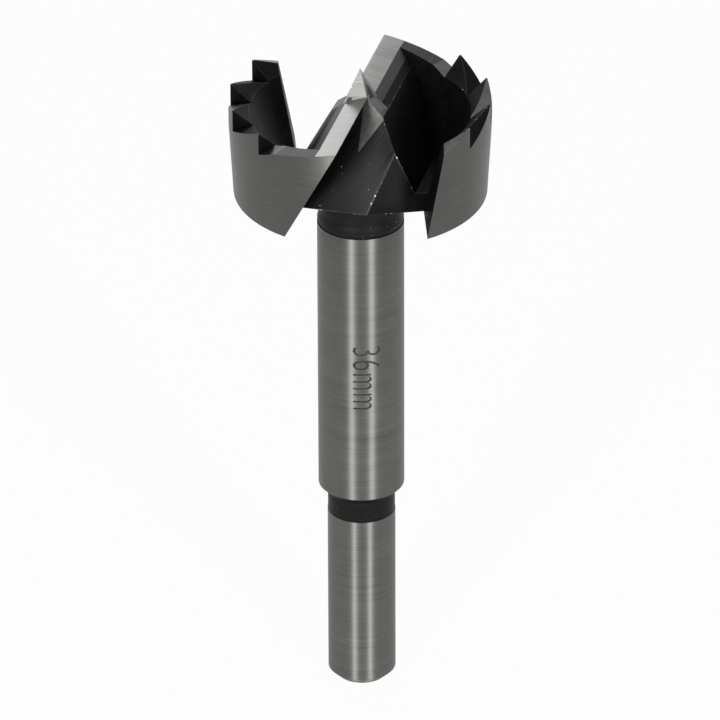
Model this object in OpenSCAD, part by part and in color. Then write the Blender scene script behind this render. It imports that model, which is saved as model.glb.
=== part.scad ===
// Sawtooth Forstner bit on a plain round shank, one solid piece of steel.
// The origin is the middle of the shank end, and Z runs along the axis to the centre point.
// Seen from above the bit turns anticlockwise, so every tooth and lifter leads that way.

/* [Shank] */
// Diameter of the round shank held in the chuck
shank_d = 9.5; // [6:0.1:13]
// Length of the ground shank from its end to the dark band
shank_h = 26.9; // [18:0.5:50]
// Chamfer on the shank end
shank_chamfer = 1.2; // [0.3:0.1:2]
// Height of the dark band between the shank and the body
band_h = 3.1; // [1:0.1:6]
// Depth of the dark band below the shank surface
band_depth = 0.06; // [0:0.02:0.6]

/* [Body] */
// Diameter of the thick turned body
body_d = 12; // [11:0.1:16]
// Length of the body between its chamfer and the groove below the head
body_h = 41.3; // [15:0.1:90]
// Height of the chamfer that leads from the band to the body
body_chamfer = 1.3; // [0.3:0.1:3]
// Depth of the shallow groove at the top of the body
groove_depth = 0.12; // [0:0.02:0.6]
// Height of the shallow groove at the top of the body
groove_h = 0.6; // [0.2:0.1:2]
// Height of the dark neck from the groove to the underside of the head
neck_h = 4.4; // [3:0.1:12]
// Diameter of the neck where it meets the head
neck_top_d = 11.3; // [8:0.1:12]

/* [Head] */
// Cutting diameter across the tooth tips
cut_d = 36; // [30:0.5:60]
// Height of the head from its underside to the tooth tips
head_h = 14.4; // [12:0.1:24]
// Height of the straight upper part of the rim, above its taper
land_h = 4; // [2:0.5:8]
// Taper of the rim below the straight part
rim_taper = 3.1; // [0:0.1:6]
// Wall of the toothed rim at the tooth tips
rim_wall = 1.9; // [1.5:0.1:3]
// Slope of the pocket wall inside the rim
pocket_slope = 20; // [5:1:30]
// Thickness of the floor under the chip pockets
floor_h = 2.5; // [1.5:0.1:6]

/* [Lifters] */
// Distance from the axis to each lifter's cutting edge
edge_offset = 1.2; // [0.5:0.05:2]
// Width of the ground relief behind the cutting edge
relief_w = 2.85; // [2:0.1:5]
// Relief angle behind the cutting edge, carried on over the low land of the rim
relief_angle = 12; // [5:0.5:18]
// Rake of the lifter face under the cutting edge
rake = 28; // [10:1:40]
// Width of the narrow strip that falls away behind the relief
strip_w = 2; // [0.5:0.1:3]
// Slope of the narrow strip, from level
strip_slope = 40; // [20:1:50]
// Slope of the lifter's back, from level
back_slope = 61.8; // [50:0.2:75]

/* [Gullets] */
// Distance from the axis to the foot of the web's front face
web_reach = 7.75; // [7:0.1:12]
// Slope of the web's front face, from level
web_slope = 63.8; // [55:0.2:75]
// Distance of the ridge on the web's front face from the middle
ridge_x = 2.8; // [0:0.1:6]
// Turn of the web's side face from its front face
side_turn = 22.9; // [5:0.5:45]
// Slope of the web's side face, from level
side_slope = 72.9; // [50:0.5:85]
// Angle on the rim from a lifter to the end of the wing ahead of it
gullet_angle = 45.8; // [30:0.1:60]
// Turn of the wing's end face from the lifter's direction
end_turn = 17.8; // [0:0.5:30]
// Lean of the wing's end face from upright
end_lean = 10.5; // [0:0.5:25]

/* [Teeth] */
// Number of teeth on each wing of the rim
tooth_count = 4; // [2:1:6]
// Angle on the rim from a lifter's centre line to its first tooth
first_tooth = 35.5; // [30:0.1:45]
// Angle between neighbouring teeth
tooth_pitch = 24.8; // [14:0.1:28]
// Relief slope behind each tooth tip
tooth_relief = 23; // [10:0.5:35]
// Slope of the bevel inside the tooth tips, from level
tooth_bevel = 43; // [30:1:65]
// Small flat left at each tooth tip and along each cutting edge
tip_land = 0.2; // [0.05:0.05:0.6]

/* [Centre point] */
// Height of the centre point above the tooth tips
point_h = 4; // [2:0.1:8]
// Depth of the point's root below the tooth tips
point_root = 1; // [0.5:0.1:2]
// Half angle of the point's two front facets
front_half = 12.7; // [8:0.1:25]
// Turn of the front facets from square to the lifters
front_turn = 14.5; // [0:0.5:30]
// Half angle of the point's two side facets
side_half = 17.1; // [8:0.1:25]
// Turn of the side facets from the lifters' line
side_facet_turn = 15.3; // [0:0.1:30]

/* [Hidden] */
$fn = 180;
rim_r = cut_d / 2;
body_r = body_d / 2;
shank_r = shank_d / 2;
band_r = shank_r - band_depth;
band_z = shank_h + band_h;
body_z = band_z + body_chamfer;
body_top = body_z + body_h;
neck_z = body_top + groove_h;
head_z = neck_z + neck_h;
tip_z = head_z + head_h;
taper_r = rim_r - (head_h - land_h) * tan(rim_taper);
pocket_r = rim_r - rim_wall;
ring_r = pocket_r - rim_wall;
floor_z = head_z + floor_h;
relief_drop = relief_w * tan(relief_angle);
strip_drop = relief_drop + strip_w * tan(strip_slope);
reach = 2 * cut_d;

forstner_bit();

// The whole bit: turned stem, milled head and ground centre point
module forstner_bit() {
    color([0.62, 0.63, 0.62]) {
        stem();
        head();
        centre_point();
    }
}

// Shank, dark band, body, groove and neck, turned in one profile
module stem() {
    rotate_extrude()
        polygon([
            [0, 0],
            [shank_r - shank_chamfer, 0],
            [shank_r, shank_chamfer],
            [shank_r, shank_h],
            [band_r, shank_h],
            [band_r, band_z],
            [body_r, body_z],
            [body_r, body_top],
            [body_r - groove_depth, body_top],
            [body_r - groove_depth, neck_z],
            [body_r, neck_z],
            [neck_top_d / 2, neck_z + neck_h / 3],
            [neck_top_d / 2, head_z + floor_h / 2],
            [0, head_z + floor_h / 2]
        ]);
}

// Cutting head: a round blank with both halves of the milling taken away
module head() {
    difference() {
        blank();
        for (half = [0, 180])
            rotate([0, 0, half]) {
                gullet();
                pocket();
                lifter_relief();
                tooth_notches();
                tooth_bevels();
            }
    }
}

// Round blank of the head, straight at the teeth and tapered below them
module blank() {
    translate([0, 0, head_z])
        cylinder(h = head_h - land_h, r1 = taper_r, r2 = rim_r);
    translate([0, 0, tip_z - land_h])
        cylinder(h = land_h, r = rim_r);
}

// All space on one side of a plane through a spot, facing a turn and leaning back
module beyond(spot, turn, lean) {
    translate(spot)
        rotate([0, lean, turn])
            translate([0, -reach, -reach])
                cube([reach, 2 * reach, 2 * reach]);
}

// Open gullet between a lifter's rake face and the end of the wing ahead
module gullet() {
    end_spot = [taper_r * sin(gullet_angle), -taper_r * cos(gullet_angle), head_z];
    intersection() {
        beyond([edge_offset, 0, tip_z], 0, rake);
        beyond(end_spot, 180 + end_turn, -end_lean);
        union() {
            beyond([0, -web_reach, head_z], -90, web_slope - 90);
            beyond([ridge_x, -web_reach, head_z], side_turn - 90, side_slope - 90);
        }
    }
}

// Chip pocket behind a lifter, inside the rim
module pocket() {
    wall_drop = head_h - floor_h;
    intersection() {
        beyond([-edge_offset - tip_land, 0, tip_z], 180, 0);
        translate([0, 0, floor_z])
            cylinder(h = wall_drop, r1 = pocket_r - wall_drop * tan(pocket_slope), r2 = pocket_r);
        union() {
            beyond([edge_offset - relief_w, 0, tip_z - relief_drop], 180, strip_slope - 90);
            beyond([edge_offset - relief_w - strip_w, 0, tip_z - strip_drop], 180, back_slope - 90);
        }
    }
}

// Relief behind a cutting edge, carried on over the low land up to the first tooth
module lifter_relief() {
    intersection() {
        sector(-90, first_tooth);
        translate([edge_offset, -edge_offset / 2, tip_z])
            rotate([90, 0, 0])
                linear_extrude(height = reach)
                    polygon([
                        [-tip_land, 0],
                        [-tip_land, head_h],
                        [-cut_d, head_h],
                        [-cut_d, (tip_land - cut_d) * tan(relief_angle)]
                    ]);
    }
}

// Upright sector of the head between two angles counted back from a lifter
module sector(from, to) {
    translate([0, 0, head_z])
        linear_extrude(height = 2 * head_h)
            polygon([
                [0, 0],
                reach * [-sin(from), -cos(from)],
                reach * [-sin(to), -cos(to)]
            ]);
}

// Sloping notches that leave one tooth tip at each angle, with one more before the first
module tooth_notches() {
    for (tooth = [-1 : tooth_count - 1]) {
        angle = first_tooth + tooth * tooth_pitch;
        land_end = [-tip_land * cos(angle), tip_land * sin(angle), tip_z];
        difference() {
            intersection() {
                sector(angle, angle + tooth_pitch);
                beyond(land_end, 180 - angle, tooth_relief - 90);
            }
            translate([0, 0, head_z])
                cylinder(h = head_h, r = ring_r);
        }
    }
}

// Bevel inside the rim that brings each tooth to a point at the cutting diameter
module tooth_bevels() {
    bevel_w = 2 * rim_wall;
    bevel_h = bevel_w * tan(tooth_bevel);
    land_r = rim_r - tip_land;
    last_angle = first_tooth + tooth_count * tooth_pitch;
    difference() {
        intersection() {
            translate([0, 0, tip_z - bevel_h])
                cylinder(h = 2 * bevel_h, r1 = land_r - bevel_w, r2 = land_r + bevel_w);
            sector(first_tooth, last_angle);
        }
        translate([0, 0, head_z])
            cylinder(h = head_h, r = ring_r);
    }
}

// Brad point with four ground facets that meet on the axis
module centre_point() {
    tip = [0, 0, tip_z + point_h];
    full_h = point_h + point_root;
    difference() {
        translate([0, 0, tip_z - point_root])
            cylinder(h = full_h, r = full_h);
        for (half = [0, 180]) {
            beyond(tip, half + front_turn - 90, -front_half);
            beyond(tip, half - side_facet_turn, -side_half);
        }
    }
}
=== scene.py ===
import math

import bmesh
import bpy
from mathutils import Matrix, Vector


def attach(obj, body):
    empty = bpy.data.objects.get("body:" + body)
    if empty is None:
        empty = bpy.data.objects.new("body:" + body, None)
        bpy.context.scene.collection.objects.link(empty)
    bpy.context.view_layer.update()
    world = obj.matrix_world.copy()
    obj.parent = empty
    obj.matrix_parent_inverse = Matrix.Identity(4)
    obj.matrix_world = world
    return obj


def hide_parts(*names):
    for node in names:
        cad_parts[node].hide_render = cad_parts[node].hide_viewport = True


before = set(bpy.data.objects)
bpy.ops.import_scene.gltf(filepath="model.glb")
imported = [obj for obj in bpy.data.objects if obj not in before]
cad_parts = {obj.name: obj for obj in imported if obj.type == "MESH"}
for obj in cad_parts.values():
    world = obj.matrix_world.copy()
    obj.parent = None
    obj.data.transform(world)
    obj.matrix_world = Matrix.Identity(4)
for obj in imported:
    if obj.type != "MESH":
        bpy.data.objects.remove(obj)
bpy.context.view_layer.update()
scene = bpy.context.scene

# Forstner bit
# The bit is one bar of tool steel. Its stem is turned and ground, and its head is milled to a toothed
# rim with two lifters. Black oxide is left wherever the grinding wheel did not reach.
finishes = [
    "ground_stem", "ground_rim", "bright_relief", "bright_point", "blued_land", "ground_gash",
    "black_oxide", "neck_oxide", "brushed_web_painted_sheen", "worn_edge",
]
# The underside of the head lies between these two heights, in millimetres.
below_underside = 77.55
above_underside = 77.7
bpy.ops.object.select_all(action="DESELECT")
bit = bpy.data.objects.new("steel_bit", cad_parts["forstner_bit"].data.copy())
scene.collection.objects.link(bit)
bit.select_set(True)
bpy.context.view_layer.objects.active = bit
bit.data.materials.clear()
bpy.ops.object.mode_set(mode="EDIT")
bpy.ops.mesh.select_mode(type="FACE")
bpy.ops.mesh.select_all(action="SELECT")
bpy.ops.mesh.remove_doubles(threshold=0.000002)
bpy.ops.mesh.customdata_custom_splitnormals_clear()
bpy.ops.mesh.dissolve_limited(angle_limit=math.radians(0.4))


def pick_head_faces(half, wanted):
    """Select head faces by middle and normal, both turned so that the wanted lifter is at the front."""
    bpy.ops.mesh.select_all(action="DESELECT")
    bpy.ops.object.mode_set(mode="OBJECT")
    for face in bit.data.polygons:
        middle = face.center * 1000
        turned_middle = Vector((half * middle.x, half * middle.y, middle.z))
        turned_normal = Vector((half * face.normal.x, half * face.normal.y, face.normal.z))
        face.select = middle.z > above_underside and wanted(turned_middle, turned_normal)
    bpy.ops.object.mode_set(mode="EDIT")


def is_relief(middle, normal):
    """The ground relief behind a lifter's edge, with the low land that carries it on."""
    return normal.x < -0.15 and 0.95 < normal.z < 0.995


def is_strip(middle, normal):
    """The narrow strip that falls away behind a lifter's relief."""
    return abs(middle.x) < 4.5 and normal.x < -0.6 and 0.74 < normal.z < 0.79


def is_web_front(middle, normal):
    """The wide front face of the web under the centre point."""
    return normal.y < -0.85 and 0.4 < normal.z < 0.5 and abs(normal.x) < 0.1


# A lifter's bright relief ends at a ground line. The strip behind it is blued for part of its width,
# and ground on the ledge by the point. The web's front carries a wedge-shaped gash. The lines lie at
# these millimetres from the axis and the shank end; the gash's sloping side has a rise and a facing.
relief_back = 1.65
strip_back = 2.75
ledge_end = -1.2
gash_side = 0.75
gash_foot_x = 0.83
gash_foot_z = 85.3
gash_rise = 1.411
gash_facing_x = 0.816
gash_facing_z = 0.578
for half in (1, -1):
    pick_head_faces(half, is_relief)
    bpy.ops.mesh.bisect(plane_co=(-half * relief_back / 1000, 0, 0), plane_no=(1, 0, 0))
    pick_head_faces(half, is_strip)
    bpy.ops.mesh.bisect(plane_co=(-half * strip_back / 1000, 0, 0), plane_no=(1, 0, 0))
    pick_head_faces(half, is_strip)
    bpy.ops.mesh.bisect(plane_co=(0, half * ledge_end / 1000, 0), plane_no=(0, 1, 0))
    pick_head_faces(half, is_web_front)
    bpy.ops.mesh.bisect(plane_co=(half * gash_side / 1000, 0, 0), plane_no=(1, 0, 0))
    pick_head_faces(half, is_web_front)
    gash_foot = (half * gash_foot_x / 1000, 0, gash_foot_z / 1000)
    bpy.ops.mesh.bisect(plane_co=gash_foot, plane_no=(-half * gash_facing_x, 0, gash_facing_z))
bpy.ops.object.mode_set(mode="OBJECT")

# Heights, in millimetres, of the top of the ground shank and of the ends of the ground body.
shank_top = 26.9
body_bottom = 31.3
body_top = 72.59


def finish_of_stem(height):
    """Shank and body are ground. The band, the chamfer over it, the groove and the neck are black."""
    if height < shank_top or body_bottom < height < body_top:
        return "ground_stem"
    return "neck_oxide"

# Distances from the axis and heights, in millimetres, that tell faces of the head apart.
rim_inside = 16.5
teeth_inside = 14
point_radius = 3
point_foot = 91.4
below_tips = 91
# Angles round the rim, in degrees, counted back from a lifter.
first_tooth = 35.5
tooth_pitch = 24.8


def finish_of_head(middle, normal):
    """The finish of a face on the head, by where it is and which way it faces.

    The ledge by the point and every second tooth are ground like the gash.
    """
    radius = math.hypot(middle.x, middle.y)
    outward = (normal.x * middle.x + normal.y * middle.y) / max(radius, 0.001)
    half = 1 if middle.y < 0 else -1
    if middle.z < above_underside:
        return "black_oxide"
    if outward > 0.9 and radius > rim_inside:
        return "ground_rim"
    if middle.z > point_foot and radius < point_radius and normal.z < 0.4:
        return "bright_point"
    is_tip_land = normal.z > 0.999 and middle.z > below_tips
    if is_tip_land or is_relief(middle, Vector((half * normal.x, half * normal.y, normal.z))):
        return "bright_relief" if half * middle.x > -relief_back else "blued_land"
    back = 1 if normal.x < 0 else -1
    if is_strip(middle, Vector((back * normal.x, back * normal.y, normal.z))):
        if back * middle.y > ledge_end:
            return "ground_gash"
        return "blued_land" if back * middle.x > -strip_back else "black_oxide"
    if 0.88 < normal.z < 0.95 and radius > teeth_inside:
        wing = 1 if middle.x < 0 else -1
        angle = math.degrees(math.atan2(-wing * middle.x, -wing * middle.y))
        tooth = int((angle - first_tooth) // tooth_pitch)
        return "ground_gash" if tooth % 2 else "black_oxide"
    if is_web_front(middle, Vector((half * normal.x, half * normal.y, normal.z))):
        across = half * middle.x
        above = middle.z - gash_foot_z - (across - gash_foot_x) * gash_rise
        return "ground_gash" if across > gash_side and above > 0 else "brushed_web_painted_sheen"
    return "black_oxide"


for face in bit.data.polygons:
    middle = face.center * 1000
    if middle.z < below_underside:
        finish = finish_of_stem(middle.z)
    else:
        finish = finish_of_head(middle, face.normal)
    face.material_index = finishes.index(finish)

# Grinding leaves fine lines across the steel, long in one direction and very close in the other.
grain = bpy.data.node_groups.new("grinding_lines", "ShaderNodeTree")
grain.interface.new_socket("Vector", in_out="INPUT", socket_type="NodeSocketVector")
grain.interface.new_socket("Lines", in_out="OUTPUT", socket_type="NodeSocketFloat")
grain.interface.new_socket("Streaks", in_out="OUTPUT", socket_type="NodeSocketFloat")
grain_in = grain.nodes.new("NodeGroupInput")
grain_out = grain.nodes.new("NodeGroupOutput")
for name, size, low, high in (("Lines", 1.0, 0.3, 0.7), ("Streaks", 0.12, 0.35, 0.65)):
    noise = grain.nodes.new("ShaderNodeTexNoise")
    noise.inputs["Scale"].default_value = size
    noise.inputs["Detail"].default_value = 3
    spread = grain.nodes.new("ShaderNodeMapRange")
    spread.inputs["From Min"].default_value = low
    spread.inputs["From Max"].default_value = high
    grain.links.new(grain_in.outputs["Vector"], noise.inputs["Vector"])
    grain.links.new(noise.outputs["Fac"], spread.inputs["Value"])
    grain.links.new(spread.outputs["Result"], grain_out.inputs[name])

# Handling leaves cloudy patches and a scatter of small flecks on every finish.
wear = bpy.data.node_groups.new("handling_wear", "ShaderNodeTree")
wear.interface.new_socket("Vector", in_out="INPUT", socket_type="NodeSocketVector")
fleck_level = wear.interface.new_socket("Fleck Level", in_out="INPUT", socket_type="NodeSocketFloat")
fleck_level.default_value = 0.7
wear.interface.new_socket("Clouds", in_out="OUTPUT", socket_type="NodeSocketFloat")
wear.interface.new_socket("Flecks", in_out="OUTPUT", socket_type="NodeSocketFloat")
wear_in = wear.nodes.new("NodeGroupInput")
wear_out = wear.nodes.new("NodeGroupOutput")
clouds = wear.nodes.new("ShaderNodeTexNoise")
clouds.inputs["Scale"].default_value = 260
clouds.inputs["Detail"].default_value = 4
cloud_spread = wear.nodes.new("ShaderNodeMapRange")
cloud_spread.inputs["From Min"].default_value = 0.3
cloud_spread.inputs["From Max"].default_value = 0.7
flecks = wear.nodes.new("ShaderNodeTexNoise")
flecks.inputs["Scale"].default_value = 1900
flecks.inputs["Detail"].default_value = 2
fleck_edge = wear.nodes.new("ShaderNodeMath")
fleck_edge.operation = "SUBTRACT"
fleck_sharp = wear.nodes.new("ShaderNodeMath")
fleck_sharp.operation = "MULTIPLY"
fleck_sharp.use_clamp = True
fleck_sharp.inputs[1].default_value = 14
wear.links.new(wear_in.outputs["Vector"], clouds.inputs["Vector"])
wear.links.new(wear_in.outputs["Vector"], flecks.inputs["Vector"])
wear.links.new(clouds.outputs["Fac"], cloud_spread.inputs["Value"])
wear.links.new(cloud_spread.outputs["Result"], wear_out.inputs["Clouds"])
wear.links.new(flecks.outputs["Fac"], fleck_edge.inputs[0])
wear.links.new(wear_in.outputs["Fleck Level"], fleck_edge.inputs[1])
wear.links.new(fleck_edge.outputs[0], fleck_sharp.inputs[0])
wear.links.new(fleck_sharp.outputs[0], wear_out.inputs["Flecks"])


def steel_finish(name, lines, dark, light, fleck, fleck_from, rough, bump, metallic, specular, stretch):
    """One finish of the bit: grinding lines, patches and flecks over a dark and a light shade."""
    finish = bpy.data.materials.new(name)
    finish.use_nodes = True
    nodes = finish.node_tree.nodes
    links = finish.node_tree.links
    surface = nodes["Principled BSDF"]
    place = nodes.new("ShaderNodeTexCoord")
    line_place = nodes.new("ShaderNodeMapping")
    line_place.name = "line place"
    line_place.inputs["Scale"].default_value = lines
    line_marks = nodes.new("ShaderNodeGroup")
    line_marks.node_tree = grain
    wear_marks = nodes.new("ShaderNodeGroup")
    wear_marks.node_tree = wear
    wear_marks.inputs["Fleck Level"].default_value = fleck_from
    shade = nodes.new("ShaderNodeMath")
    shade.name = "shade"
    shade.operation = "MULTIPLY_ADD"
    shade.inputs[1].default_value = 0.45
    patches = nodes.new("ShaderNodeMath")
    patches.operation = "MULTIPLY_ADD"
    patches.inputs[1].default_value = 0.3
    streaks = nodes.new("ShaderNodeMath")
    streaks.operation = "MULTIPLY"
    streaks.inputs[1].default_value = 0.25
    colour = nodes.new("ShaderNodeMix")
    colour.name = "colour"
    colour.data_type = "RGBA"
    colour.inputs["A"].default_value = (*dark, 1)
    colour.inputs["B"].default_value = (*light, 1)
    flecked = nodes.new("ShaderNodeMix")
    flecked.data_type = "RGBA"
    flecked.inputs["B"].default_value = (*fleck, 1)
    gloss = nodes.new("ShaderNodeMapRange")
    gloss.inputs["To Min"].default_value = rough[0]
    gloss.inputs["To Max"].default_value = rough[1]
    relief = nodes.new("ShaderNodeBump")
    relief.inputs["Strength"].default_value = bump
    relief.inputs["Distance"].default_value = 0.00002
    links.new(place.outputs["Object"], line_place.inputs["Vector"])
    links.new(line_place.outputs["Vector"], line_marks.inputs["Vector"])
    links.new(place.outputs["Object"], wear_marks.inputs["Vector"])
    links.new(line_marks.outputs["Streaks"], streaks.inputs[0])
    links.new(wear_marks.outputs["Clouds"], patches.inputs[0])
    links.new(streaks.outputs[0], patches.inputs[2])
    links.new(line_marks.outputs["Lines"], shade.inputs[0])
    links.new(patches.outputs[0], shade.inputs[2])
    links.new(shade.outputs[0], colour.inputs["Factor"])
    links.new(colour.outputs["Result"], flecked.inputs["A"])
    links.new(wear_marks.outputs["Flecks"], flecked.inputs["Factor"])
    links.new(flecked.outputs["Result"], surface.inputs["Base Color"])
    links.new(shade.outputs[0], gloss.inputs["Value"])
    links.new(gloss.outputs["Result"], surface.inputs["Roughness"])
    links.new(line_marks.outputs["Lines"], relief.inputs["Height"])
    links.new(relief.outputs["Normal"], surface.inputs["Normal"])
    surface.inputs["Metallic"].default_value = metallic
    surface.inputs["Specular IOR Level"].default_value = specular
    surface.inputs["Anisotropic"].default_value = stretch
    if stretch:
        around = nodes.new("ShaderNodeTangent")
        around.direction_type = "RADIAL"
        around.axis = "Z"
        links.new(around.outputs["Tangent"], surface.inputs["Tangent"])
        surface.inputs["Anisotropic Rotation"].default_value = 0.25
    return finish


made = {
    "ground_stem": steel_finish(
        "ground_stem", lines=(90, 90, 5200), dark=(0.108, 0.112, 0.103), light=(0.188, 0.194, 0.179),
        fleck=(0.07, 0.07, 0.064), fleck_from=0.76, rough=(0.4, 0.52), bump=0.12,
        metallic=1, specular=0.5, stretch=0.96),
    "ground_rim": steel_finish(
        "ground_rim", lines=(90, 90, 4200), dark=(0.09, 0.094, 0.087), light=(0.138, 0.143, 0.133),
        fleck=(0.3, 0.3, 0.29), fleck_from=0.75, rough=(0.4, 0.52), bump=0.1,
        metallic=1, specular=0.5, stretch=0.9),
    "bright_relief": steel_finish(
        "bright_relief", lines=(150, 3800, 150), dark=(0.18, 0.184, 0.179), light=(0.325, 0.33, 0.318),
        fleck=(0.2, 0.2, 0.2), fleck_from=0.72, rough=(0.3, 0.42), bump=0.12,
        metallic=1, specular=0.5, stretch=0),
    "bright_point": steel_finish(
        "bright_point", lines=(150, 150, 4200), dark=(0.225, 0.225, 0.22), light=(0.39, 0.39, 0.38),
        fleck=(0.85, 0.85, 0.85), fleck_from=0.72, rough=(0.26, 0.4), bump=0.12,
        metallic=1, specular=0.5, stretch=0),
    "blued_land": steel_finish(
        "blued_land", lines=(2600, 180, 180), dark=(0.022, 0.024, 0.0255), light=(0.055, 0.059, 0.062),
        fleck=(0.4, 0.4, 0.4), fleck_from=0.74, rough=(0.36, 0.5), bump=0.12,
        metallic=1, specular=0.5, stretch=0),
    "ground_gash": steel_finish(
        "ground_gash", lines=(2600, 2600, 160), dark=(0.06, 0.061, 0.058), light=(0.14, 0.142, 0.136),
        fleck=(0.5, 0.5, 0.5), fleck_from=0.75, rough=(0.34, 0.46), bump=0.12,
        metallic=1, specular=0.5, stretch=0),
    "black_oxide": steel_finish(
        "black_oxide", lines=(900, 900, 900), dark=(0.0015, 0.0015, 0.0015), light=(0.007, 0.007, 0.0068),
        fleck=(0.1, 0.1, 0.1), fleck_from=0.74, rough=(0.34, 0.52), bump=0.25,
        metallic=0, specular=0.05, stretch=0),
    "neck_oxide": steel_finish(
        "neck_oxide", lines=(200, 200, 2400), dark=(0.003, 0.003, 0.003), light=(0.01, 0.01, 0.0098),
        fleck=(0.16, 0.16, 0.155), fleck_from=0.72, rough=(0.36, 0.52), bump=0.2,
        metallic=0, specular=0.09, stretch=0),
    # The web front's light shade is a painted sheen, reached near the ridge, over the real brushing
    # lines.
    "brushed_web_painted_sheen": steel_finish(
        "brushed_web_painted_sheen", lines=(3200, 240, 160), dark=(0.002, 0.002, 0.002), light=(0.026, 0.0265, 0.027),
        fleck=(0.4, 0.4, 0.4), fleck_from=0.74, rough=(0.34, 0.5), bump=0.2,
        metallic=0.4, specular=0.1, stretch=0),
    "worn_edge": steel_finish(
        "worn_edge", lines=(700, 700, 700), dark=(0.004, 0.004, 0.004), light=(0.05, 0.05, 0.049),
        fleck=(0.7, 0.7, 0.69), fleck_from=0.65, rough=(0.3, 0.45), bump=0.1,
        metallic=0.6, specular=0.2, stretch=0),
}

# The brushing on both web fronts runs down the slope of the ridge. The colour grows lighter towards the
# ridge, which is a painted sheen.
web_nodes = made["brushed_web_painted_sheen"].node_tree.nodes
web_links = made["brushed_web_painted_sheen"].node_tree.links
web_place = web_nodes.new("ShaderNodeTexCoord")
web_parts = web_nodes.new("ShaderNodeSeparateXYZ")
web_side = web_nodes.new("ShaderNodeMath")
web_side.operation = "SIGN"
web_across = web_nodes.new("ShaderNodeMath")
web_across.operation = "MULTIPLY"
web_turned = web_nodes.new("ShaderNodeCombineXYZ")
# A ramp across the web front that lightens the colour towards the ridge: painted sheen.
web_painted_sheen = web_nodes.new("ShaderNodeMapRange")
web_painted_sheen.inputs["From Min"].default_value = 0.001
web_painted_sheen.inputs["From Max"].default_value = -0.0045
web_painted_sheen.inputs["To Min"].default_value = 0.08
web_lines_and_sheen = web_nodes.new("ShaderNodeMath")
web_lines_and_sheen.operation = "MULTIPLY"
web_links.new(web_place.outputs["Object"], web_parts.inputs["Vector"])
web_links.new(web_parts.outputs["Y"], web_side.inputs[0])
web_links.new(web_parts.outputs["X"], web_across.inputs[0])
web_links.new(web_side.outputs[0], web_across.inputs[1])
web_links.new(web_across.outputs[0], web_turned.inputs["X"])
web_links.new(web_parts.outputs["Z"], web_turned.inputs["Z"])
web_lean = web_nodes.new("ShaderNodeMapping")
web_lean.inputs["Rotation"].default_value = (0, math.radians(35), 0)
web_links.new(web_turned.outputs[0], web_lean.inputs["Vector"])
web_links.new(web_lean.outputs["Vector"], web_nodes["line place"].inputs["Vector"])
web_links.new(web_across.outputs[0], web_painted_sheen.inputs["Value"])
web_links.new(web_nodes["shade"].outputs[0], web_lines_and_sheen.inputs[0])
web_links.new(web_painted_sheen.outputs["Result"], web_lines_and_sheen.inputs[1])
web_links.new(web_lines_and_sheen.outputs[0], web_nodes["colour"].inputs["Factor"])
for name in finishes:
    bit.data.materials.append(made[name])

# Handling breaks the blackened edges a little and rubs bright flecks into them, most of all round the
# web. The ground edges and the centre point stay sharp. The web's bounds are in millimetres.
web_radius = 11.5
web_foot = 77.5
light_rub = 0.3
bit.data.update()
bpy.ops.object.mode_set(mode="EDIT")
bpy.ops.mesh.select_mode(type="EDGE")
bpy.ops.mesh.select_all(action="DESELECT")
bpy.ops.mesh.edges_select_sharp(sharpness=math.radians(20))
bpy.ops.object.mode_set(mode="OBJECT")
shape = bmesh.new()
shape.from_mesh(bit.data)
rubbed = shape.edges.layers.float.new("bevel_weight_edge")
blackened = [finishes.index(name) for name in ("black_oxide", "neck_oxide", "brushed_web_painted_sheen")]
for edge in shape.edges:
    start = edge.verts[0].co * 1000
    end = edge.verts[1].co * 1000
    on_web = max(start.xy.length, end.xy.length) < web_radius and min(start.z, end.z) > web_foot
    is_black = all(face.material_index in blackened for face in edge.link_faces)
    if edge.select and edge.is_convex and is_black:
        edge[rubbed] = 1 if on_web else light_rub
shape.to_mesh(bit.data)
shape.free()
edge_break = bit.modifiers.new("edge_break", "BEVEL")
edge_break.width = 0.00012
edge_break.segments = 2
edge_break.limit_method = "WEIGHT"
edge_break.use_clamp_overlap = False
edge_break.material = finishes.index("worn_edge")
bpy.ops.object.modifier_apply(modifier="edge_break")
bpy.ops.object.shade_smooth_by_angle(angle=math.radians(25))
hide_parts("forstner_bit")
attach(bit, "root")

# Size mark
# The cutting diameter is marked on the ground steel of the body in thin dark-brown strokes, burnt or
# etched. They read down the body, with the tops of the figures to the right. Here they are a film
# just over the steel. The sizes and places of the figures are in metres.
figures_length = 0.0098
figures_height = 0.00414
figures_top = 0.0557
base_line = -0.00119
figures_out = 0.00606
first_cut = -0.001
cut_step = 0.00033
mark_turn = math.radians(14.5)
mark_right = Vector((math.cos(mark_turn), math.sin(mark_turn), 0))
mark_out = Vector((math.sin(mark_turn), -math.cos(mark_turn), 0))
bpy.ops.object.select_all(action="DESELECT")
bpy.ops.object.text_add()
mark = bpy.context.object
mark.name = "size_mark"
mark.data.body = "36mm"
mark.data.offset = -0.012
mark.data.space_character = 1.08
bpy.ops.object.convert(target="MESH")
corners = [vertex.co for vertex in mark.data.vertices]
mark_left = min(corner.x for corner in corners)
mark_length = max(corner.x for corner in corners) - mark_left
mark_base = min(corner.y for corner in corners)
mark_height = max(corner.y for corner in corners) - mark_base
stretch_x = figures_length / mark_length
stretch_y = figures_height / mark_height
corner_place = mark_right * base_line + mark_out * figures_out + Vector((0, 0, figures_top))
placing = Matrix((
    (0, mark_right.x, mark_out.x, corner_place.x),
    (0, mark_right.y, mark_out.y, corner_place.y),
    (-1, 0, 0, corner_place.z),
    (0, 0, 0, 1),
))
sizing = Matrix.Diagonal((stretch_x, stretch_y, 1, 1))
starting = Matrix.Translation((-mark_left, -mark_base, 0))
mark.data.transform(placing @ sizing @ starting)
bpy.ops.object.mode_set(mode="EDIT")
bpy.ops.mesh.select_all(action="SELECT")
bpy.ops.mesh.remove_doubles(threshold=0.000002)
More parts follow.
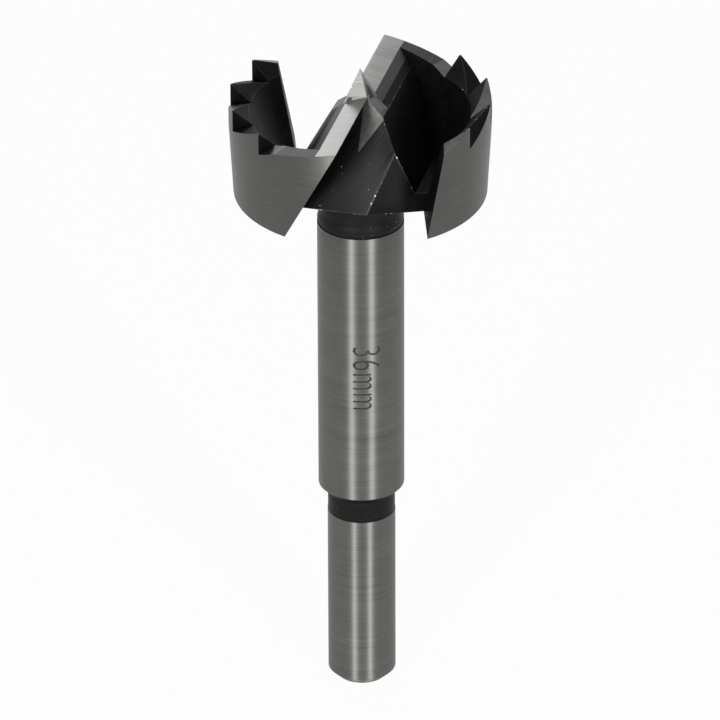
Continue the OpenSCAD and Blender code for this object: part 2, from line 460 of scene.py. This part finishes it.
# Cuts across the strokes let them bend round the body.
for cut in range(12):
    bpy.ops.mesh.select_all(action="SELECT")
    across = mark_right * (first_cut + cut * cut_step)
    bpy.ops.mesh.bisect(plane_co=across, plane_no=mark_right)
bpy.ops.object.mode_set(mode="OBJECT")
wrap = mark.modifiers.new("wrap", "SHRINKWRAP")
wrap.target = bit
wrap.wrap_method = "NEAREST_SURFACEPOINT"
wrap.wrap_mode = "ABOVE_SURFACE"
wrap.offset = 0.000012
bpy.ops.object.modifier_apply(modifier="wrap")
mark.data.materials.clear()
mark.data.materials.append(steel_finish(
    "burnt_mark", lines=(700, 700, 2400), dark=(0.014, 0.01, 0.008), light=(0.05, 0.038, 0.03),
    fleck=(0.12, 0.11, 0.1), fleck_from=0.7, rough=(0.5, 0.65), bump=0.08,
    metallic=0.2, specular=0.3, stretch=0))
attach(mark, "root")

# Studio
# A plain white floor runs on under and behind the bit, and keeps a trace of its shadow. The world
# around it is white, and dimmer as a light than as a view. Tall soft boxes stand to the left and right
# of the camera, and a wide panel behind the bit to the left.


def seen_or_mirrored(nodes, links):
    """A mask of 1 for what the camera sees, straight, mirrored or through glass, and 0 for matt light."""
    ray = nodes.new("ShaderNodeLightPath")
    mask = ray.outputs["Is Camera Ray"]
    for kind in ("Is Glossy Ray", "Is Transmission Ray"):
        either = nodes.new("ShaderNodeMath")
        either.operation = "MAXIMUM"
        links.new(mask, either.inputs[0])
        links.new(ray.outputs[kind], either.inputs[1])
        mask = either.outputs[0]
    return mask


bpy.ops.object.select_all(action="DESELECT")
bpy.ops.mesh.primitive_plane_add(size=6)
floor = bpy.context.object
floor.name = "studio_floor"
white = bpy.data.materials.new("floor_white")
white.use_nodes = True
white_nodes = white.node_tree.nodes
white_links = white.node_tree.links
white_nodes.remove(white_nodes["Principled BSDF"])
matt = white_nodes.new("ShaderNodeBsdfDiffuse")
matt.inputs["Color"].default_value = (0.9, 0.9, 0.9, 1)
glow = white_nodes.new("ShaderNodeEmission")
share = white_nodes.new("ShaderNodeMath")
share.operation = "MULTIPLY"
share.inputs[1].default_value = 0.96
blend = white_nodes.new("ShaderNodeMixShader")
white_links.new(seen_or_mirrored(white_nodes, white_links), share.inputs[0])
white_links.new(share.outputs[0], blend.inputs["Fac"])
white_links.new(matt.outputs[0], blend.inputs[1])
white_links.new(glow.outputs[0], blend.inputs[2])
white_links.new(blend.outputs[0], white_nodes["Material Output"].inputs["Surface"])
floor.data.materials.append(white)

world = bpy.data.worlds.new("studio")
world.use_nodes = True
scene.world = world
around_nodes = world.node_tree.nodes
around_links = world.node_tree.links
sky = around_nodes["Background"]
sky.inputs["Color"].default_value = (1, 1, 1, 1)
sky_level = around_nodes.new("ShaderNodeMapRange")
sky_level.inputs["To Min"].default_value = 0.35
sky_level.inputs["To Max"].default_value = 1
around_links.new(seen_or_mirrored(around_nodes, around_links), sky_level.inputs["Value"])
around_links.new(sky_level.outputs["Result"], sky.inputs["Strength"])


def soft_box(name, place, width, height, power):
    """A rectangular soft box that faces the body of the bit."""
    lamp = bpy.data.lights.new(name, "AREA")
    lamp.shape = "RECTANGLE"
    lamp.size = width
    lamp.size_y = height
    lamp.energy = power
    stand = bpy.data.objects.new(name, lamp)
    stand.location = place
    stand.rotation_euler = (Vector((0, 0, 0.06)) - Vector(place)).to_track_quat("-Z", "Y").to_euler()
    scene.collection.objects.link(stand)


soft_box("left_strip", (-0.136, -0.91, 0.23), 0.15, 0.42, 5.2)
soft_box("right_strip", (0.61, -0.69, 0.23), 0.15, 0.42, 5.2)
soft_box("back_left_panel", (-0.42, 0.86, 0.46), 0.5, 0.3, 0.9)

# Camera
# A long lens looks down on the bit from the front and a little to its right, as in the photograph.
# It is rolled by a fifth of a degree, as the photograph is.
lens = bpy.data.cameras.new("camera")
lens.sensor_width = 36
lens.lens = 434.2
lens.clip_end = 20
camera = bpy.data.objects.new("camera", lens)
camera.location = (0.26246, -1.01487, 0.64346)
aim = Vector((-0.000496, 0.001346, 0.04957))
looking = (aim - camera.location).to_track_quat("-Z", "Y").to_matrix()
camera.rotation_euler = (looking @ Matrix.Rotation(math.radians(-0.192), 3, "Z")).to_euler()
scene.collection.objects.link(camera)
scene.camera = camera
scene.view_settings.view_transform = "Standard"
